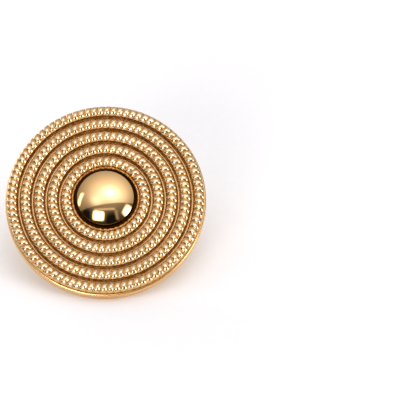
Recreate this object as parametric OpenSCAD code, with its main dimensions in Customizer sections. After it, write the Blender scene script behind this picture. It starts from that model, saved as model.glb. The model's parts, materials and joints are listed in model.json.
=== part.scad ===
// Button stud earring: a round plate faced with beaded wire rings round a polished dome.
// It lies as it rests when taken off: on the lower edge of its rim and the tip of its ear post.
// Millimetres. +Z is up, the face looks towards -Y, and the origin is on the surface that it
// lies on, under the middle of its bounding box.

/* [Disc] */
// Diameter of the round back plate
disc_d = 25; // [20:0.5:32]
// Thickness of the back plate
plate_t = 1.3; // [0.8:0.05:2]
// Rounding of the plate's front and back edges
plate_edge_r = 0.25; // [0.1:0.05:0.35]
// Smooth ledge left bare outside the outermost ring
rim_ledge = 0.2; // [0.1:0.05:0.6]

/* [Beaded rings] */
// Height of the beaded wires above the plate
wire_h = 1; // [0.6:0.05:1.4]
// Width of the groove between neighbouring wires
groove_w = 0.36; // [0.2:0.02:0.6]
// Length of one bead along its wire
bead_pitch = 0.81; // [0.7:0.01:1.2]
// Depth of the nick between two beads
bead_nick = 0.2; // [0.05:0.01:0.25]

/* [Dome] */
// Diameter of the polished dome
dome_d = 7.1; // [5:0.1:9]
// Height of the dome above the plate
dome_h = 2; // [1.6:0.1:3.5]
// Height of the dome's upright side
dome_side_h = 0.85; // [0.4:0.05:1]
// Rounding between the dome's side and its cap
dome_edge_r = 0.15; // [0.05:0.05:0.4]
// Open gap between the dome and the collar round it
dome_gap = 0.46; // [0.2:0.02:0.8]
// Wall of the smooth collar round the dome
collar_wall = 0.2; // [0.15:0.05:0.4]
// Height of the collar above the plate
collar_h = 0.75; // [0.3:0.05:0.9]

/* [Ear post] */
// Diameter of the post's wire
post_d = 0.8; // [0.7:0.05:1.1]
// Length of the post from the plate's back to its tip
post_len = 11; // [9:0.25:13]
// Height of the post above the centre of the disc
post_rise = 2.5; // [1:0.25:4]
// Diameter of the flat pad at the post's foot
pad_d = 4.5; // [3:0.25:6]
// Thickness of the pad
pad_t = 0.3; // [0.2:0.05:0.6]
// Height and width of the solder fillet between pad and post
solder_r = 0.35; // [0.1:0.05:0.6]

/* [Fit] */
// Bonding gap between pieces that are seated on one another
bond_gap = 0.02; // [0.01:0.01:0.05]

/* [Hidden] */

RING_COUNT = 5;            // outermost ring is ring 1
WIRE_SIDES = 10;           // sides of a wire's section
EDGE_STEPS = 6;            // chords in a rounded edge
CAP_STEPS = 20;            // chords from the dome's edge to its top
ROUND_FN = 96;             // smoothness of the turned pieces
EDGE_SHARE = 0.45;         // most of the plate's thickness that one rounded edge may take

disc_r = disc_d / 2;
edge_r = min(plate_edge_r, plate_t * EDGE_SHARE);

dome_r = dome_d / 2;
collar_in_r = dome_r + dome_gap;
collar_out_r = collar_in_r + collar_wall;

// Five equal wires and four grooves fill the band between the collar and the rim's ledge.
band_w = disc_r - rim_ledge - collar_out_r - bond_gap;
wire_w = (band_w - (RING_COUNT - 1) * groove_w) / RING_COUNT;
ring_step = wire_w + groove_w;
foot_z = plate_t + bond_gap;

// The cap is the arc through the dome's top that runs smoothly into the rounded edge.
cap_a = dome_r - dome_edge_r;
cap_b = dome_h - dome_side_h;
cap_r = (cap_a * cap_a + cap_b * cap_b - dome_edge_r * dome_edge_r)
        / (2 * (cap_b - dome_edge_r));
cap_end = atan2(cap_a, cap_r - cap_b);

// The floor touches the rounded lower edge of the plate and the round tip of the post.
post_r = post_d / 2;
reach_y = disc_r - edge_r + post_rise;
reach_z = edge_r + post_len - post_r;
reach = sqrt(reach_y * reach_y + reach_z * reach_z);
lean = atan2(reach_z, reach_y) - asin((edge_r - post_r) / reach);
lift = edge_r + (disc_r - edge_r) * sin(lean) - edge_r * cos(lean);

// Furthest reach to the front and the back once it leans.
function lean_y(y, z) = y * cos(lean) - z * sin(lean);
front_y = min([lean_y(edge_r - disc_r, plate_t - edge_r) - edge_r,
               for (p = wire_section(1)) lean_y(-ring_r(1) - p[0], foot_z + p[1])]);
back_y = max(lean_y(disc_r - edge_r, edge_r) + edge_r,
             lean_y(post_rise, post_r - post_len) + post_r);

// Centre line of ring k, counted from the rim.
function ring_r(k) = disc_r - rim_ledge - wire_w / 2 - (k - 1) * ring_step;

// Beads that fit round ring k at the wanted pitch.
function bead_count(k) = round(2 * PI * ring_r(k) / bead_pitch);

// Section of a wire as [across, up] from the middle of its foot: a regular polygon drawn out
// to the wire's width and height. swell is 1 on a bead's crest and 0 in the nick beside it.
function wire_section(swell) =
    let (half_w = wire_w / 2 - bead_nick * (1 - swell),
         half_h = (wire_h - bead_nick * (1 - swell)) / 2,
         turn = 180 / WIRE_SIDES)
    [for (i = [0:WIRE_SIDES - 1])
        let (a = turn * (2 * i + 1) - 90)
        [half_w * cos(a), half_h * (1 + sin(a) / cos(turn))]];

// Points of an arc about [x, y] from one angle to another, without the point that it starts on.
function arc(x, y, r, from, to, steps) =
    [for (i = [1:steps])
        let (a = from + (to - from) * i / steps)
        [x + r * cos(a), y + r * sin(a)]];

// Carries a piece from the disc's own frame, with the plate's back at z = 0, to where it rests.
module at_rest()
    translate([0, -(front_y + back_y) / 2, lift])
        rotate([lean, 0, 0])
            children();

// A wire of beads bent into a ring: one section on each crest and one in each nick.
module beaded_ring(k) {
    sections = 2 * bead_count(k);
    crest = wire_section(1);
    nick = wire_section(0);
    points = [for (s = [0:sections - 1])
        let (a = 90 + s * 360 / sections, section = s % 2 == 0 ? crest : nick)
        for (p = section)
            [(ring_r(k) + p[0]) * cos(a), (ring_r(k) + p[0]) * sin(a), foot_z + p[1]]];
    faces = [for (s = [0:sections - 1], i = [0:WIRE_SIDES - 1])
        let (here = s * WIRE_SIDES,
             next = (s + 1) % sections * WIRE_SIDES,
             j = (i + 1) % WIRE_SIDES,
             corners = [here + i, here + j, next + j, next + i])
        // Each four-sided patch is split so that the two sides of a bead mirror each other.
        for (t = s % 2 == 0 ? [[0, 3, 1], [3, 2, 1]] : [[0, 3, 2], [0, 2, 1]])
            [corners[t[0]], corners[t[1]], corners[t[2]]]];
    at_rest()
        polyhedron(points, faces);
}

// Round plate with softened edges and the collar that frames the dome.
module back_plate()
    color([0.80, 0.62, 0.36])
        at_rest()
            rotate_extrude($fn = ROUND_FN)
                polygon(concat(
                    [[0, 0], [disc_r - edge_r, 0]],
                    arc(disc_r - edge_r, edge_r, edge_r, -90, 0, EDGE_STEPS),
                    [[disc_r, plate_t - edge_r]],
                    arc(disc_r - edge_r, plate_t - edge_r, edge_r, 0, 90, EDGE_STEPS),
                    [[collar_out_r, plate_t],
                     [collar_out_r, plate_t + collar_h],
                     [collar_in_r, plate_t + collar_h],
                     [collar_in_r, plate_t],
                     [0, plate_t]]));

// Polished dome: an upright side, a rounded edge and a shallow round cap.
module dome()
    color([0.86, 0.70, 0.44])
        at_rest()
            translate([0, 0, foot_z])
                rotate_extrude($fn = ROUND_FN)
                    polygon(concat(
                        [[0, 0], [dome_r, 0], [dome_r, dome_side_h]],
                        arc(cap_a, dome_side_h, dome_edge_r, 0, 90 - cap_end, EDGE_STEPS),
                        arc(0, dome_h - cap_r, cap_r, 90 - cap_end, 90, CAP_STEPS)));

// Straight post with a round tip on a flat pad, with solder round its foot.
module ear_post()
    color([0.78, 0.62, 0.38])
        at_rest()
            translate([0, post_rise, -bond_gap])
                mirror([0, 0, 1]) {
                    cylinder(h = pad_t, d = pad_d, $fn = ROUND_FN);
                    cylinder(h = post_len - bond_gap - post_r, r = post_r, $fn = ROUND_FN);
                    translate([0, 0, post_len - bond_gap - post_r])
                        sphere(r = post_r, $fn = ROUND_FN);
                    translate([0, 0, pad_t])
                        cylinder(h = solder_r, r1 = post_r + solder_r, r2 = post_r, $fn = ROUND_FN);
                }

module rope_ring_1() color([0.82, 0.64, 0.38]) beaded_ring(1);
module rope_ring_2() color([0.82, 0.64, 0.38]) beaded_ring(2);
module rope_ring_3() color([0.82, 0.64, 0.38]) beaded_ring(3);
module rope_ring_4() color([0.82, 0.64, 0.38]) beaded_ring(4);
module rope_ring_5() color([0.82, 0.64, 0.38]) beaded_ring(5);

back_plate();
dome();
ear_post();
rope_ring_1();
rope_ring_2();
rope_ring_3();
rope_ring_4();
rope_ring_5();
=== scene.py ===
import json
import math

import bpy
import numpy as np
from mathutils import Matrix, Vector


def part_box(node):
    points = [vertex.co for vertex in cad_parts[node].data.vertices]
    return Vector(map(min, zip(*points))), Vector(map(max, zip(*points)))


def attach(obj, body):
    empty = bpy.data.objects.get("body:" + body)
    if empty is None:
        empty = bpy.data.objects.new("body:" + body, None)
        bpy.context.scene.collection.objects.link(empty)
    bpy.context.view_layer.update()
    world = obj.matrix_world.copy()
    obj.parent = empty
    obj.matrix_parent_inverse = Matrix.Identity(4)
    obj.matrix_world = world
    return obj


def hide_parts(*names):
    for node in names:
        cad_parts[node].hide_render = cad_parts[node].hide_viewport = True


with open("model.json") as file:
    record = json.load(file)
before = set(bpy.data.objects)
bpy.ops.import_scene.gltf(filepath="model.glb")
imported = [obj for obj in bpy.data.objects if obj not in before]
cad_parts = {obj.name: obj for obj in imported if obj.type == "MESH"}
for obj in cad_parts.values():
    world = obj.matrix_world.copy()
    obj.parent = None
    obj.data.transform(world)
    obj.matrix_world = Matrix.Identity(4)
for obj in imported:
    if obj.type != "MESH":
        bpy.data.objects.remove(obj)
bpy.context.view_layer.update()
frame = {"record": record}
mm = 0.001
turn = 2 * math.pi
print("frame loaded")


# The disc's own frame: origin in the middle of the plate's back, x across, y up the face,
# z out of the face. The ear post points straight away from the face.
plate = {
    "thickness": 1.3 * mm,
    "edge": 0.25 * mm,            # rounding of the rim
    "collarInside": 4.01 * mm,
    "collarWall": 0.2 * mm,
    "collarHeight": 0.75 * mm,
    "collarOuterEdge": 0.15 * mm,     # rounding of the collar's top, away from the dome
    "collarInnerEdge": 0.025 * mm,    # and towards it
    "collarBeads": 38,            # nicks along the collar's top, as many as ring 5 has beads
    "collarNick": 0.2 * mm,
    "collarNickPower": 4,         # above 1 the nicks keep closer to the collar's top
    "lineHalf": 0.07 * mm,        # half width of the lighter line along the middle of each groove, between painted shade at the wires' feet
    "lineShade": 0.18,            # how much painted shade the line keeps
    "collarShade": (0.35, 0.85),  # painted shade at the top of the collar's outer wall and lower down,
    "collarShadeDepth": 0.5 * mm,     # and the depth at which the second is reached
    "gapShade": (0.8, 2.0),       # the same painted shade for the gap round the dome, up to the darkest
    "gapShadeDepth": 0.12 * mm,
    # painted shade in the nicks of the collar's top
    "collarNickShade": 0.9,
    "near": 0.01 * mm,            # heights and radii this close count as the same
    "segments": 456,
}
plateLow, plateHigh = (np.array(corner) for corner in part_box("back_plate"))
postMount = next(m for m in frame["record"]["mounts"] if m["name"] == "ear_post")
discRadius = (plateHigh[0] - plateLow[0]) / 2
faceNormal = -np.array(postMount["axis"]) / np.linalg.norm(postMount["axis"])
lean = math.atan2(-faceNormal[1], faceNormal[2])
acrossFace = np.array([1.0, 0.0, 0.0])
upFace = np.cross(faceNormal, acrossFace)
discCentre = (plateLow + plateHigh) / 2 - faceNormal * plate["thickness"] / 2


def onDisc(x, y, z):
    # world = centre + x across + y up the face + z along the normal
    return (discCentre + x[..., None] * acrossFace + y[..., None] * upFace
            + z[..., None] * faceNormal)


def newMesh(name, points, faces, recess=None):
    # a smooth-shaded mesh object, which may carry how much painted shade each point takes in a
    # nick, groove or gap
    mesh = bpy.data.meshes.new(name)
    mesh.from_pydata(points.reshape(-1, 3).tolist(), [], faces)
    mesh.polygons.foreach_set("use_smooth", [True] * len(mesh.polygons))
    if recess is not None:
        layer = mesh.attributes.new("recess", "FLOAT", "POINT")
        layer.data.foreach_set("value", np.ascontiguousarray(recess, dtype=np.float32).ravel())
    mesh.validate()
    mesh.update()
    piece = bpy.data.objects.new(name, mesh)
    bpy.context.scene.collection.objects.link(piece)
    return piece


def gridFaces(rows, columns, closeRows, closeColumns):
    # four-sided faces of a grid of points, numbered row by row, joined end to end where asked
    lastRow = rows if closeRows else rows - 1
    lastColumn = columns if closeColumns else columns - 1
    i, j = np.meshgrid(np.arange(lastRow), np.arange(lastColumn), indexing="ij")
    nextI, nextJ = (i + 1) % rows, (j + 1) % columns
    corners = (i * columns + j, nextI * columns + j, nextI * columns + nextJ, i * columns + nextJ)
    return np.stack(corners, -1).reshape(-1, 4)


def roundCorner(before, corner, after, radius, steps=6):
    # the arc of that radius which touches both sides of the corner
    before, corner, after = (np.array(p, float) for p in (before, corner, after))
    inward = (before - corner) / np.linalg.norm(before - corner)
    outward = (after - corner) / np.linalg.norm(after - corner)
    half = math.acos(np.clip(inward @ outward, -1, 1)) / 2
    middle = inward + outward
    centre = corner + middle / np.linalg.norm(middle) * radius / math.sin(half)
    start = corner + inward * radius / math.tan(half) - centre
    end = corner + outward * radius / math.tan(half) - centre
    sweep = math.acos(np.clip(start @ end / radius ** 2, -1, 1))
    share = np.linspace(0, 1, steps + 1)[:, None]
    spokes = np.sin((1 - share) * sweep) * start + np.sin(share * sweep) * end
    return centre + spokes / math.sin(sweep)


def outline(corners, hold=0.03 * mm):
    # corners are (radius, height, rounding); each run longer than four holds keeps a point close
    # to both ends, so that the shading of a flat stays flat right up to its rounded corner
    points = []
    for k, (r, z, rounding) in enumerate(corners):
        if rounding and 0 < k < len(corners) - 1:
            points.append(roundCorner(corners[k - 1][:2], (r, z), corners[k + 1][:2], rounding))
        else:
            points.append(np.array([[r, z]]))
    filled = [points[0]]
    for k in range(1, len(points)):
        a, b = points[k - 1][-1], points[k][0]
        run = np.linalg.norm(b - a)
        if run > 4 * hold:
            filled.append(np.array([a + (b - a) * hold / run, b - (b - a) * hold / run]))
        filled.append(points[k])
    return np.vstack(filled)


def turned(name, profile, segments, aboutY=0.0, shape=None, recess=None):
    # a profile of (radius, height) that starts and ends on the axis, carried once round it:
    # x = radius * cos(angle), y = radius * sin(angle) + the axis's height up the face
    angles = np.arange(segments) * turn / segments
    r, z = profile[1:-1, 0], profile[1:-1, 1]
    heights = shape(r, z, angles) if shape else np.repeat(z[:, None], segments, 1)
    body = onDisc(r[:, None] * np.cos(angles), r[:, None] * np.sin(angles) + aboutY, heights)
    ends = onDisc(np.zeros(2), np.full(2, aboutY), profile[[0, -1], 1])
    points = np.vstack([body.reshape(-1, 3), ends])
    ring = np.arange(segments)
    after = (ring + 1) % segments
    first, last, top = len(points) - 2, len(points) - 1, (len(r) - 1) * segments
    faces = gridFaces(len(r), segments, False, True)[:, ::-1].tolist()
    faces += np.stack([after, ring, np.full(segments, first)], -1).tolist()
    faces += np.stack([top + ring, top + after, np.full(segments, last)], -1).tolist()
    depth = None
    if recess is not None:
        wall = np.broadcast_to(recess(r, z, angles), (len(r), segments))
        depth = np.concatenate([wall.ravel(), recess(*profile[[0, -1]].T, angles)[:, 0]])
    return newMesh(name, points, faces, depth)


# Materials

class Link:
    # a node's output that takes part in Python expressions

    def __init__(self, tree, socket=None):
        self.tree = tree
        self.socket = socket

    def make(self, kind, settings=None, inputs=None, out=0):
        # adds a node: its settings first, then the values or links of its sockets
        made = self.tree.nodes.new(kind)
        for name, value in (settings or {}).items():
            setattr(made, name, value)
        for name, value in (inputs or {}).items():
            if isinstance(value, Link):
                self.tree.links.new(value.socket, made.inputs[name])
            else:
                made.inputs[name].default_value = value
        return Link(self.tree, made.outputs[out] if len(made.outputs) else None)

    def maths(self, operation, other=0.0):
        return self.make("ShaderNodeMath", {"operation": operation}, {0: self, 1: other})

    def __add__(self, other):
        return self.maths("ADD", other)

    __radd__ = __add__

    def __mul__(self, other):
        return self.maths("MULTIPLY", other)

    __rmul__ = __mul__

    def __sub__(self, other):
        return self.maths("SUBTRACT", other)

    def __rsub__(self, other):
        return self.make("ShaderNodeMath", {"operation": "SUBTRACT"}, {0: other, 1: self})

    def __truediv__(self, other):
        return self.maths("DIVIDE", other)

    def ease(self, low, high, toLow=0.0, toHigh=1.0):
        # toLow below low, toHigh above high, smooth between
        return self.make("ShaderNodeMapRange", {"interpolation_type": "SMOOTHSTEP"},
                         {"Value": self, "From Min": low, "From Max": high,
                          "To Min": toLow, "To Max": toHigh})

    def blend(self, low, high):
        # the colour low where this is 0, high where it is 1
        return self.make("ShaderNodeMix", {"data_type": "RGBA"},
                         {"Factor": self, 6: low, 7: high}, out=2)

    def noise(self, scale, detail):
        # cloudy noise over this position
        return self.make("ShaderNodeTexNoise", None,
                         {"Vector": self, "Scale": scale, "Detail": detail})

    def parts(self):
        # the three numbers of this vector
        apart = self.make("ShaderNodeSeparateXYZ", None, {0: self}).socket.node
        return [Link(self.tree, output) for output in apart.outputs]


def rgb(r, g, b):
    return (r, g, b, 1.0)


def newMaterial(name):
    # an empty material, and the link that its nodes are made from
    material = bpy.data.materials.new(name)
    material.use_nodes = True
    material.node_tree.nodes.clear()
    return material, Link(material.node_tree)


def discCoordinates(root):
    # object coordinates carried into the disc's own frame, in millimetres
    where = root.make("ShaderNodeTexCoord", out=3)
    moved = where.make("ShaderNodeVectorMath", {"operation": "SUBTRACT"},
                       {0: where, 1: tuple(discCentre)})
    rotated = moved.make("ShaderNodeMapping", {"vector_type": "POINT"},
                         {"Vector": moved, "Rotation": (-lean, 0.0, 0.0)})
    return rotated.make("ShaderNodeVectorMath", {"operation": "SCALE"},
                        {0: rotated, "Scale": 1 / mm})


# What all the gold finishes share
goldWearAndShade = {
    "cloudDetail": 3.0,
    "cloudEdges": (0.35, 0.65),   # noise at which one tone gives way to the other
    "grainDetail": 4.0,
    "mottleDetail": 2.0,
    "mottleEdges": (0.42, 0.56),  # noise at which the painted shade in a recess goes from weakened to full
    "coatGone": 0.8,              # recess at which the clear gloss has worn off
}


def goldFinish(name, look):
    # polished gold plating: warm tone, painted shade where it is recessed, uneven gloss and fine
    # wear
    material, root = newMaterial(name)
    place = discCoordinates(root)
    cloud = place.noise(look["cloudScale"], goldWearAndShade["cloudDetail"])
    grain = place.noise(look["grainScale"], goldWearAndShade["grainDetail"])
    colour = cloud.ease(*goldWearAndShade["cloudEdges"]).blend(look["tone"], look["toneWarm"])
    gloss = look["roughness"] + (grain - 0.5) * look["glossSpread"]
    coat = look["coat"]
    if "toneShade" in look:
        # painted shade in the recesses, patchy over a noise, and darker painted shade in the
        # deepest gap
        recess = root.make("ShaderNodeAttribute", {"attribute_name": "recess"}, out=2)
        mottle = place.noise(look["mottleScale"], goldWearAndShade["mottleDetail"])
        paintedShade = (recess.ease(look["recessFrom"], 1.0, 0.0, look["recessAmount"])
                * mottle.ease(*goldWearAndShade["mottleEdges"], 1 - look["mottle"], 1.0))
        colour = paintedShade.blend(colour, look["toneShade"])
        if "toneDarkShade" in look:
            colour = recess.ease(1.0, 2.0).blend(colour, look["toneDarkShade"])
        gloss = gloss + recess * look["recessDull"]
        coat = recess.ease(0.0, goldWearAndShade["coatGone"], look["coat"], 0.0)
    height = grain * look["grainHeight"]
    if "turningPitch" in look:
        x, y, _ = place.parts()
        radius = (x * x + y * y).maths("SQRT")
        lathe = (radius * (turn / look["turningPitch"])).maths("SINE")
        height = height + lathe * look["turningHeight"]
    bump = root.make("ShaderNodeBump", None, {"Height": height, "Distance": look["bumpDistance"],
                                              "Strength": 1.0})
    surface = root.make("ShaderNodeBsdfPrincipled", None,
                        {"Base Color": colour, "Metallic": 1.0, "Roughness": gloss,
                         "Normal": bump, "Coat Weight": coat, "Coat IOR": look["coatIndex"],
                         "Coat Roughness": look["coatRoughness"]})
    root.make("ShaderNodeOutputMaterial", None, {"Surface": surface})
    return material


# the deep tone is painted shade in the recesses and the pit tone darker painted shade in the gap
# round the dome; turning leaves fine rings one pitch apart, in millimetres
goldLooks = {
    "wire": {"tone": rgb(0.67, 0.39, 0.135), "toneWarm": rgb(0.72, 0.43, 0.155),
             "toneShade": rgb(0.35, 0.15, 0.02), "mottle": 0.3, "mottleScale": 2.5,
             "recessFrom": 0.3, "recessAmount": 0.9, "recessDull": 0.15,
             "cloudScale": 0.5, "grainScale": 9.0, "roughness": 0.22, "glossSpread": 0.06,
             "coat": 1.0, "coatIndex": 2.6, "coatRoughness": 0.2,
             "grainHeight": 0.5, "bumpDistance": 0.006 * mm},
    "dome": {"tone": rgb(1.0, 0.585, 0.22), "toneWarm": rgb(1.0, 0.6, 0.235),
             "toneShade": rgb(0.30, 0.13, 0.02), "mottle": 0.0, "mottleScale": 2.5,
             "recessFrom": 0.1, "recessAmount": 1.0, "recessDull": 0.1,
             "cloudScale": 0.3, "grainScale": 5.0, "roughness": 0.04, "glossSpread": 0.03,
             "coat": 0.8, "coatIndex": 1.8, "coatRoughness": 0.06,
             "grainHeight": 0.3, "bumpDistance": 0.001 * mm},
    "plate": {"tone": rgb(0.80, 0.48, 0.18), "toneWarm": rgb(0.83, 0.51, 0.21),
              "toneShade": rgb(0.54, 0.24, 0.022), "toneDarkShade": rgb(0.15, 0.06, 0.01),
              "mottle": 0.8, "mottleScale": 2.5,
              "recessFrom": 0.2, "recessAmount": 1.0, "recessDull": 0.6,
              "cloudScale": 0.4, "grainScale": 7.0, "roughness": 0.26, "glossSpread": 0.08,
              "coat": 0.1, "coatIndex": 1.8, "coatRoughness": 0.06,
              "grainHeight": 0.5, "bumpDistance": 0.004 * mm,
              "turningPitch": 0.12, "turningHeight": 0.5},
    "post": {"tone": rgb(0.79, 0.50, 0.24), "toneWarm": rgb(0.82, 0.54, 0.28),
             "cloudScale": 0.6, "grainScale": 8.0, "roughness": 0.2, "glossSpread": 0.08,
             "coat": 0.3, "coatIndex": 1.8, "coatRoughness": 0.06,
             "grainHeight": 0.5, "bumpDistance": 0.004 * mm},
}


def finishPiece(piece, node, material):
    # the piece gets its material, rides on the earring and stands in for its CAD node
    piece.data.materials.append(material)
    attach(piece, "root")
    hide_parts(node)


# Sizes of the beaded wires, ring 1 outermost
wire = {
    "count": 5,
    "ledge": 0.2 * mm,            # bare rim outside ring 1
    "width": 1.326 * mm,
    "height": 1.0 * mm,
    "groove": 0.36 * mm,
    "seat": 0.02 * mm,            # bonding gap under the wires
    "beadPitch": 0.81 * mm,
    "nick": 0.17 * mm,            # depth of the nick filed across the crown between two beads
    "flankNick": 0.04 * mm,       # depth of the same nick on the flanks
    "crownShare": 2.0,            # above 1 the nicks keep closer to the crown
    "nickNarrowing": 2.4,         # above 1 the crests are longer than the nicks
    "slant": 1.0,                 # how far the nicks lean along the wire, as an angle
    "squareness": 1.9,            # 2 is an ellipse, less is more like a gable
    "lowest": 0.01,               # the foot stays this share of half the height above its seat
    "nickShade": 1.0,             # how much painted shade the nicks take
    "nickShadeRise": 2.0,         # how fast it sets in above the wire's widest line
    "footShade": 0.9,             # how much painted shade the foot of the wire takes
    "footShadeLevel": 0.9,        # share of it at the wire's widest line
    "footShadeFall": 1.1,         # and how fast that fades towards the crown
    "stepsPerBead": 12,
    "stepsAround": 36,
    "firstBead": math.pi / 2,     # a bead's crest stands at the top of each ring
}


# Back plate with the collar round the dome
def makePlate():
    # a lathe profile of plate and collar, with a point on each edge of the grooves' lighter middle
    # lines
    t = plate["thickness"]
    inside = plate["collarInside"]
    outside = inside + plate["collarWall"]
    middle = inside + plate["collarWall"] / 2
    top = t + plate["collarHeight"]
    near = plate["near"]
    grooves = [discRadius - wire["ledge"] - wire["width"] * k - wire["groove"] * (k - 0.5)
               for k in range(1, wire["count"])]
    lines = [(centre + offset, t, 0) for centre in grooves
             for offset in (plate["lineHalf"] * 2, 0.0, -plate["lineHalf"] * 2)]
    profile = outline([
        (0.0, 0.0, 0), (discRadius, 0.0, plate["edge"]), (discRadius, t, plate["edge"]),
        *lines, (outside, t, 0), (outside, top, plate["collarOuterEdge"]),
        (inside, top, plate["collarInnerEdge"]), (inside, t, 0), (0.0, t, 0)])

    def wave(angles):
        # 0 on a crest of ring 5 and 1 in its nicks: (1 - cos(beads * angle)) / 2
        return (1 - np.cos(plate["collarBeads"] * (angles - wire["firstBead"]))) / 2

    def nicked(r, z, angles):
        # the collar's top dips by nick * wave * (share of the collar's height)^power
        onCollar = np.clip((z - t) / plate["collarHeight"], 0, 1) ** plate["collarNickPower"]
        onCollar = onCollar * (r < outside + near)
        return z[:, None] - onCollar[:, None] * plate["collarNick"] * wave(angles)

    def shade(z, levels, depth):
        # painted shade from the first level at the collar's top to the second at that depth below
        # it
        return levels[0] + (levels[1] - levels[0]) * np.clip((top - z) / depth, 0, 1)

    def recess(r, z, angles):
        # painted shade: up to 1 on the floor under the wires, up to 2 in the gap round the dome,
        # none on the rim and the back
        floor = (np.abs(z - t) < near) & (r < discRadius - wire["ledge"])
        gap = (z > t - near) & (r < middle)
        collar = z > t + near
        away = np.min(np.abs(r[:, None] - np.array(grooves)), axis=1) / plate["lineHalf"]
        still = np.where(
            gap, shade(z, plate["gapShade"], plate["gapShadeDepth"]),
            np.where(floor, np.clip(plate["lineShade"] + away / 2, 0, 1),
                     collar * shade(z, plate["collarShade"], plate["collarShadeDepth"])))
        return np.maximum(still[:, None],
                          plate["collarNickShade"] * collar[:, None] * wave(angles))

    piece = turned("plateAndCollar", profile, plate["segments"], shape=nicked, recess=recess)
    finishPiece(piece, "back_plate", goldFinish("plateGold", goldLooks["plate"]))


makePlate()
print("plate made")


# Polished dome
dome = {
    "radius": 3.55 * mm,
    "height": 2.0 * mm,
    "side": 0.85 * mm,            # upright side below the cap
    "edge": 0.06 * mm,            # rounding between the side and the cap
    "footEdge": 0.04 * mm,        # rounding at the foot of the side
    "seat": 0.02 * mm,            # bonding gap under it
    "shadeRise": 3.0,             # how fast the painted shade sets in across the rounding
    "edgeSteps": 8,
    "capSteps": 60,
    "segments": 256,
}


def makeDome():
    # a cap of one radius that runs smoothly into the edge's rounding, on an upright side:
    # cap radius = (a^2 + b^2 - edge^2) / (2 * (b - edge)), with the rounding's centre a out
    # from the axis and b below the top
    a = dome["radius"] - dome["edge"]
    b = dome["height"] - dome["side"]
    capRadius = (a * a + b * b - dome["edge"] ** 2) / (2 * (b - dome["edge"]))
    slope = math.atan2(a, capRadius - b)
    foot = plate["thickness"] + dome["seat"]
    rim = np.linspace(0, math.pi / 2 - slope, dome["edgeSteps"])
    cap = np.linspace(slope, 0, dome["capSteps"])[1:]
    side = outline([(0.0, foot, 0), (dome["radius"], foot, dome["footEdge"]),
                    (dome["radius"], foot + dome["side"], 0)])
    edge = np.stack([a + dome["edge"] * np.cos(rim),
                     foot + dome["side"] + dome["edge"] * np.sin(rim)], -1)[1:]
    top = np.stack([capRadius * np.sin(cap),
                    foot + dome["height"] - capRadius * (1 - np.cos(cap))], -1)
    profile = np.vstack([side, edge, top])

    def recess(r, z, angles):
        # painted shade: 0 on the cap, 1 on the side
        return np.clip((r - a) / dome["edge"] * dome["shadeRise"], 0, 1)[:, None]

    piece = turned("domeCap", profile, dome["segments"], recess=recess)
    finishPiece(piece, "dome", goldFinish("domeGold", goldLooks["dome"]))


makeDome()
print("dome made")


# Beaded wires
def makeRing(k, material):
    # across: half width * |cos|^(2/n), up: half height * (1 + |sin|^(2/n)), both with their signs;
    # the section draws in by (flankNick + (nick - flankNick) * up^crownShare) * f, where
    # f = ((1 - cos(beads * angle + slant * cos(around))) / 2)^nickNarrowing
    step = wire["width"] + wire["groove"]
    radius = discRadius - wire["ledge"] - wire["width"] / 2 - (k - 1) * step
    beads = round(turn * radius / wire["beadPitch"])
    along = np.arange(beads * wire["stepsPerBead"]) / (beads * wire["stepsPerBead"]) * turn
    angle = wire["firstBead"] + along
    around = np.arange(wire["stepsAround"]) / wire["stepsAround"] * turn
    phase = beads * along[:, None] + wire["slant"] * np.cos(around)
    nick = ((1 - np.cos(phase)) / 2) ** wire["nickNarrowing"]
    power = 2 / wire["squareness"]
    c = np.sign(np.cos(around)) * np.abs(np.cos(around)) ** power
    s = np.sign(np.sin(around)) * np.abs(np.sin(around)) ** power
    depth = nick * (wire["flankNick"] + (wire["nick"] - wire["flankNick"])
                    * np.clip(s, 0, 1) ** wire["crownShare"])
    half = wire["height"] / 2
    reach = radius + (wire["width"] / 2 - depth) * c
    upWire = np.maximum(half + (half - depth) * s, wire["lowest"] * half)
    points = onDisc(reach * np.cos(angle)[:, None], reach * np.sin(angle)[:, None],
                    plate["thickness"] + wire["seat"] + upWire)
    # painted shade at the wire's foot and in the nicks on the crown
    paintedFootShade = np.clip(wire["footShadeLevel"] - wire["footShadeFall"] * s, 0, 1) * wire["footShade"]
    crown = nick ** 2 * wire["nickShade"] * np.clip(wire["nickShadeRise"] * s, 0, 1)
    faces = gridFaces(len(angle), len(around), True, True)
    piece = newMesh(f"beadedWire{k}", points, faces.tolist(), np.maximum(crown, paintedFootShade))
    finishPiece(piece, f"rope_ring_{k}", material)
    return beads


wireGold = goldFinish("wireGold", goldLooks["wire"])
beadTotal = sum(makeRing(k, wireGold) for k in range(1, wire["count"] + 1))
print("beads made:", beadTotal)


# Ear post on its pad
earPost = {
    "radius": 0.4 * mm,
    "length": 11.0 * mm,          # from the plate's back to the tip
    "rise": 2.5 * mm,             # above the middle of the disc
    "padRadius": 2.25 * mm,
    "padThickness": 0.3 * mm,
    "padEdge": 0.1 * mm,          # rounding of the pad's free edge
    "padSeatEdge": 0.05 * mm,     # and of its edge on the plate
    "solder": 0.35 * mm,          # radius of the hollow curve between pad and post
    "seat": 0.02 * mm,            # bonding gap under the pad
    "solderSteps": 8,
    "tipSteps": 10,
    "segments": 96,
}


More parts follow.
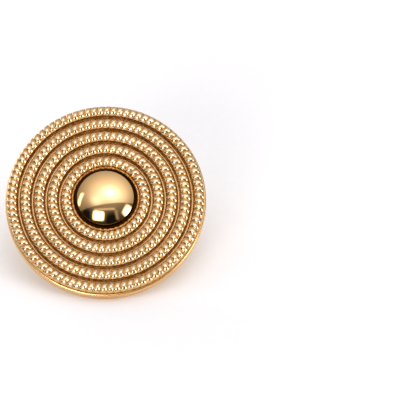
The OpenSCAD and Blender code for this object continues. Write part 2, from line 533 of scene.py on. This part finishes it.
def makePost():
    # a flat pad, a quarter circle of solder, the straight wire and a half-round tip, turned
    # about an axis above the disc's middle and pointing away from the face
    pad, seat = earPost["padThickness"], earPost["seat"]
    r, length, solder = earPost["radius"], earPost["length"], earPost["solder"]
    start = outline([(0.0, seat, 0), (earPost["padRadius"], seat, earPost["padSeatEdge"]),
                     (earPost["padRadius"], seat + pad, earPost["padEdge"]),
                     (r + solder, seat + pad, 0)])
    bend = np.linspace(0, math.pi / 2, earPost["solderSteps"])[1:]
    fillet = np.stack([r + solder - solder * np.sin(bend),
                       seat + pad + solder - solder * np.cos(bend)], -1)
    tipAngle = np.linspace(0, math.pi / 2, earPost["tipSteps"])
    tip = np.stack([r * np.cos(tipAngle), length - r + r * np.sin(tipAngle)], -1)
    tip[-1, 0] = 0.0
    profile = np.vstack([start, fillet, tip])
    profile[:, 1] *= -1
    piece = turned("postAndPad", profile[::-1], earPost["segments"], aboutY=earPost["rise"])
    finishPiece(piece, "ear_post", goldFinish("postGold", goldLooks["post"]))


makePost()
print("post made")


# White sweep, light and camera
sweep = {
    "size": 3.0,
    "gridPoints": 9,
    "tone": rgb(0.85, 0.835, 0.815),
    "toneLight": rgb(0.86, 0.845, 0.825),
    "fibreScale": 900.0,
    "fibreDetail": 3.0,
    "fibreEdges": (0.3, 0.7),
    "roughness": 0.8,
    "shine": 0.1,
    "lift": 0.07,                 # glow that keeps the paper near white
}


def makeSweep():
    # a flat square at height 0 round the origin
    half = sweep["size"] / 2
    steps = np.linspace(-half, half, sweep["gridPoints"])
    x, y = np.meshgrid(steps, steps, indexing="ij")
    points = np.stack([x, y, np.zeros_like(x)], -1)
    faces = gridFaces(len(steps), len(steps), False, False)
    floor = newMesh("whiteSweep", points, faces.tolist())
    material, root = newMaterial("sweepPaper")
    fibre = root.make("ShaderNodeTexCoord", out=3).noise(sweep["fibreScale"],
                                                         sweep["fibreDetail"])
    tone = fibre.ease(*sweep["fibreEdges"]).blend(sweep["tone"], sweep["toneLight"])
    surface = root.make("ShaderNodeBsdfPrincipled", None,
                        {"Base Color": tone, "Roughness": sweep["roughness"],
                         "Specular IOR Level": sweep["shine"],
                         "Emission Color": tone, "Emission Strength": sweep["lift"]})
    root.make("ShaderNodeOutputMaterial", None, {"Surface": surface})
    floor.data.materials.append(material)


room = {
    "wallTone": rgb(1.0, 0.985, 0.97),
    "lampTone": rgb(0.95, 1.0, 1.25),
    "horizon": 0.15,
    "overhead": 0.8,
    "rightWall": 0.5,
    "spots": [                    # soft lights on a ceiling one unit up: middle to the right and
        (0.14, 0.21, 0.24, 0.22, 1.5),    # to the front, half width both ways, brightness
        (0.20, 0.32, 0.75, 0.50, 0.9),
        (-0.50, 0.62, 0.30, 0.30, 0.8),
    ],
    "openingEdge": 0.80,          # where the ceiling ends and the dim front of the room starts
    "openingSlope": 0.2,
    "openingSoft": (-0.04, 0.06),
    "dim": 0.55,
    "dimmest": 0.03,
    "panels": [                   # azimuth and elevation of each panel, its half width and height,
        (-19.0, 21.6, 10.5, 8.2, 11.0, 5.0, 4.0),        # brightness, edge softness and slant,
        (-4.0, 38.5, 24.0, 2.2, 0.5, 2.5, 5.0),          # in degrees but for the brightness;
        (14.0, 20.0, 11.0, 14.0, -0.1, 6.0, 0.0),        # below 0 a panel takes light away
        (27.0, 22.0, 3.0, 11.0, 0.3, 3.5, 0.0),
        (60.5, 12.5, 8.5, 15.5, 9.0, 7.0, 25.0),
        (-86.0, 30.0, 3.5, 12.0, 3.0, 3.5, 38.0),
        (-50.0, 18.0, 9.0, 14.0, -0.1, 6.0, 0.0),
        (-125.0, 14.0, 20.0, 10.0, 3.0, 6.0, 0.0),
        (180.0, 16.0, 45.0, 12.0, 0.8, 8.0, 0.0),
    ],
    "panelFront": (0.2, 0.4),     # cosines that keep a panel to its own side of the room
    "flattest": 0.04,             # directions below this height count as this high
    "darkest": 0.01,
}


def direction(azimuth, elevation):
    # azimuth runs from the front to the right, elevation up from the surface
    a, e = math.radians(azimuth), math.radians(elevation)
    return (math.sin(a) * math.cos(e), -math.cos(a) * math.cos(e), math.sin(e))


def panelMask(look, azimuth, elevation, halfWidth, halfHeight, soft, slant):
    # 1 inside a soft-edged rectangle of directions about its middle, 0 outside
    aim = np.array(direction(azimuth, elevation))
    level = np.cross(aim, (0, 0, 1))
    level /= np.linalg.norm(level)
    lift = np.cross(level, aim)
    slant = math.radians(slant)
    side = level * math.cos(slant) - lift * math.sin(slant)
    upright = lift * math.cos(slant) + level * math.sin(slant)
    out, over, ahead = (look.make("ShaderNodeVectorMath", {"operation": "DOT_PRODUCT"},
                                  {0: look, 1: tuple(axis)}, out=1)
                        for axis in (side, upright, aim))
    mask = 1.0
    for place, half in ((out, halfWidth), (over, halfHeight)):
        mask = mask * place.maths("ABSOLUTE").ease(math.sin(math.radians(half + soft)),
                                                   math.sin(math.radians(half - soft)))
    return mask * ahead.ease(*room["panelFront"])


def makeRoom():
    # brightness by direction: walls of horizon + z^2 * (overhead + rightWall * x), plus the
    # panels, and lamps of exp(-(p/a)^2 - (q/b)^2), where p and q are where the direction meets a
    # ceiling one unit up; in front of the opening's edge the lamps end and the walls are dim
    world = bpy.data.worlds.new("studio")
    bpy.context.scene.world = world
    world.use_nodes = True
    world.node_tree.nodes.clear()
    root = Link(world.node_tree)
    look = root.make("ShaderNodeTexCoord", out=0)
    x, y, z = look.parts()
    up = z.maths("MAXIMUM", room["flattest"])
    p, q = x / up, (y * -1) / up
    light = room["horizon"] + up * up * (room["overhead"]
                                         + x.maths("MAXIMUM", 0.0) * room["rightWall"])
    lamps = 0.0
    for midP, midQ, halfP, halfQ, strength in room["spots"]:
        across, along = (p - midP) * (1 / halfP), (q - midQ) * (1 / halfQ)
        lamps = lamps + ((across * across + along * along) * -1).maths("EXPONENT") * strength
    edge = q + p * room["openingSlope"] - room["openingEdge"]
    opening = edge.ease(*room["openingSoft"])
    light = light * (1 - opening) + opening * (up * up * room["dim"] + room["dimmest"])
    lamps = lamps * (1 - opening)
    for azimuth, elevation, halfWidth, halfHeight, strength, soft, slant in room["panels"]:
        light = light + panelMask(look, azimuth, elevation, halfWidth, halfHeight, soft,
                                  slant) * strength
    walls = root.make("ShaderNodeBackground", None,
                      {"Color": room["wallTone"],
                       "Strength": light.maths("MAXIMUM", room["darkest"])})
    lit = root.make("ShaderNodeBackground", None, {"Color": room["lampTone"], "Strength": lamps})
    both = root.make("ShaderNodeAddShader", None, {0: walls, 1: lit})
    root.make("ShaderNodeOutputWorld", None, {"Surface": both})


view = {
    "photo": 400,                 # pixels of the square frame
    "centrePx": (105.5, 198.5),   # where the middle of the disc's face shows
    "discWidthPx": 201.4,
    "lens": 200.0,
    "sensor": 36.0,
    "elevation": 33.8,
    "faceLevel": 1.9 * mm,        # height above the plate's back that the centre was read at
    "clip": (0.01, 10.0),
}


def makeCamera():
    # distance = frame width * lens / sensor, with the disc as many pixels wide as asked
    data = bpy.data.cameras.new("camera")
    camera = bpy.data.objects.new("camera", data)
    bpy.context.scene.collection.objects.link(camera)
    data.lens = view["lens"]
    data.sensor_width = view["sensor"]
    data.clip_start, data.clip_end = view["clip"]
    frameWidth = 2 * discRadius * view["photo"] / view["discWidthPx"]
    distance = frameWidth * view["lens"] / view["sensor"]
    back = np.array(direction(0, view["elevation"]))
    upward = np.cross(back, acrossFace)
    pixel = frameWidth / view["photo"]
    middle = discCentre + faceNormal * view["faceLevel"]
    centreX, centreY = view["centrePx"]
    aim = (middle + acrossFace * (view["photo"] / 2 - centreX) * pixel
           + upward * (centreY - view["photo"] / 2) * pixel)
    camera.location = aim + back * distance
    camera.rotation_euler = (math.pi / 2 - math.radians(view["elevation"]), 0, 0)
    bpy.context.scene.camera = camera


makeSweep()
makeRoom()
makeCamera()
bpy.context.scene.view_settings.view_transform = "Standard"
print("stage set")
